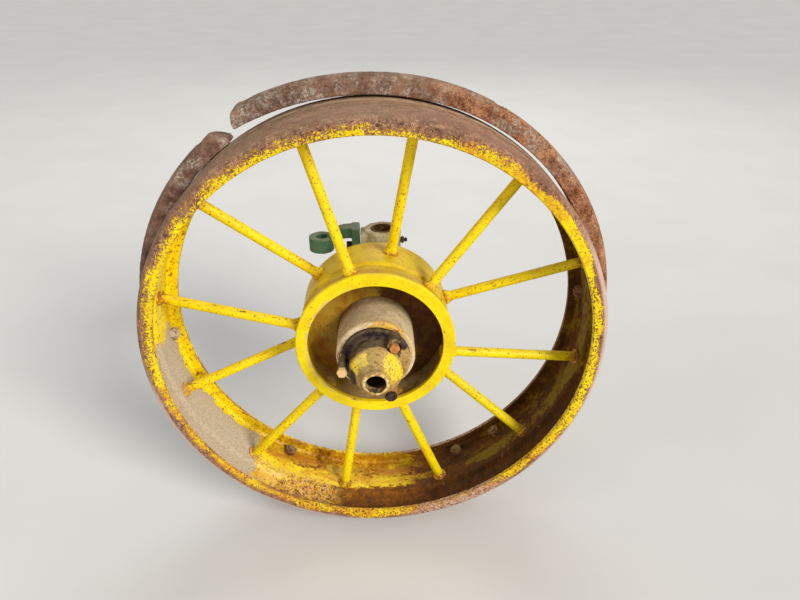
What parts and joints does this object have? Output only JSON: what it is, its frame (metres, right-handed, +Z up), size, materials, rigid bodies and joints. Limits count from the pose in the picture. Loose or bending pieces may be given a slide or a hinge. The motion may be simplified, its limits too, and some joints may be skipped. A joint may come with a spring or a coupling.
{
  "type": "tractor front steel wheel on its steering knuckle",
  "caption": "Spoked front steel wheel of a vintage tractor with a guide band on its tread, turning on the spindle of its steering knuckle.",
  "frame": {"origin": "middle of the king pin bore through the knuckle's post, level with the wheel's axis", "axes": "+Z up along the king pin, -Y outward through the wheel whose axis trails the king pin by 14 mm, +X to the tractor's front"},
  "size_m": [0.7719, 0.325, 0.7711],
  "materials": {
    "rim_paint": "flaking yellow paint over rust",
    "band_rust": "bare rusted steel with grey scale",
    "bolt_rust": "rusted bolt",
    "bolt_dark": "dark greasy bolt",
    "spoke_paint": "weathered yellow paint",
    "drum_paint": "weathered yellow paint",
    "barrel_cast": "dusty bare casting",
    "gasket": "oil-soaked gasket paper",
    "cap_cast": "dusty casting with old yellow paint",
    "knuckle_cast": "dusty grey-green forging",
    "bush_bronze": "worn bronze",
    "shield_steel": "dirty pressed steel",
    "bright_steel": "greasy steel",
    "arm_paint": "old green paint"
  },
  "bodies": {
    "knuckle": {"knuckle": "knuckle_cast", "spindle": "bright_steel", "king_pin_bush_top": "bush_bronze", "king_pin_bush_bottom": "bush_bronze", "dust_collar": "shield_steel", "spindle_washer": "bright_steel", "spindle_nut": "bright_steel", "cotter_pin": "bright_steel", "steering_arm": "arm_paint", "arm_bolts": "bolt_dark", "grease_fittings": "bright_steel"},
    "wheel": {"rim": "rim_paint", "guide_band_upper": "band_rust", "guide_band_lower": "band_rust", "band_bolts_upper": "bolt_rust", "band_bolts_lower": "bolt_rust", "spoke_01": "spoke_paint", "spoke_02": "spoke_paint", "spoke_03": "spoke_paint", "spoke_04": "spoke_paint", "spoke_05": "spoke_paint", "spoke_06": "spoke_paint", "spoke_07": "spoke_paint", "spoke_08": "spoke_paint", "spoke_09": "spoke_paint", "spoke_10": "spoke_paint", "spoke_11": "spoke_paint", "spoke_12": "spoke_paint", "hub_drum": "drum_paint", "hub_web": "drum_paint", "hub_barrel": "barrel_cast", "cap_gasket": "gasket", "hub_cap": "cap_cast", "cap_bolt_upper": "bolt_rust", "cap_bolt_lower": "bolt_dark", "cap_bolt_side": "bolt_rust"}
  },
  "joints": [
    {"name": "wheel_spin", "type": "hinge", "parent": "knuckle", "child": "wheel", "pos_m": [-0.014, -0.1345, 0], "axis": [0, -1, 0], "continuous": true}
  ]
}
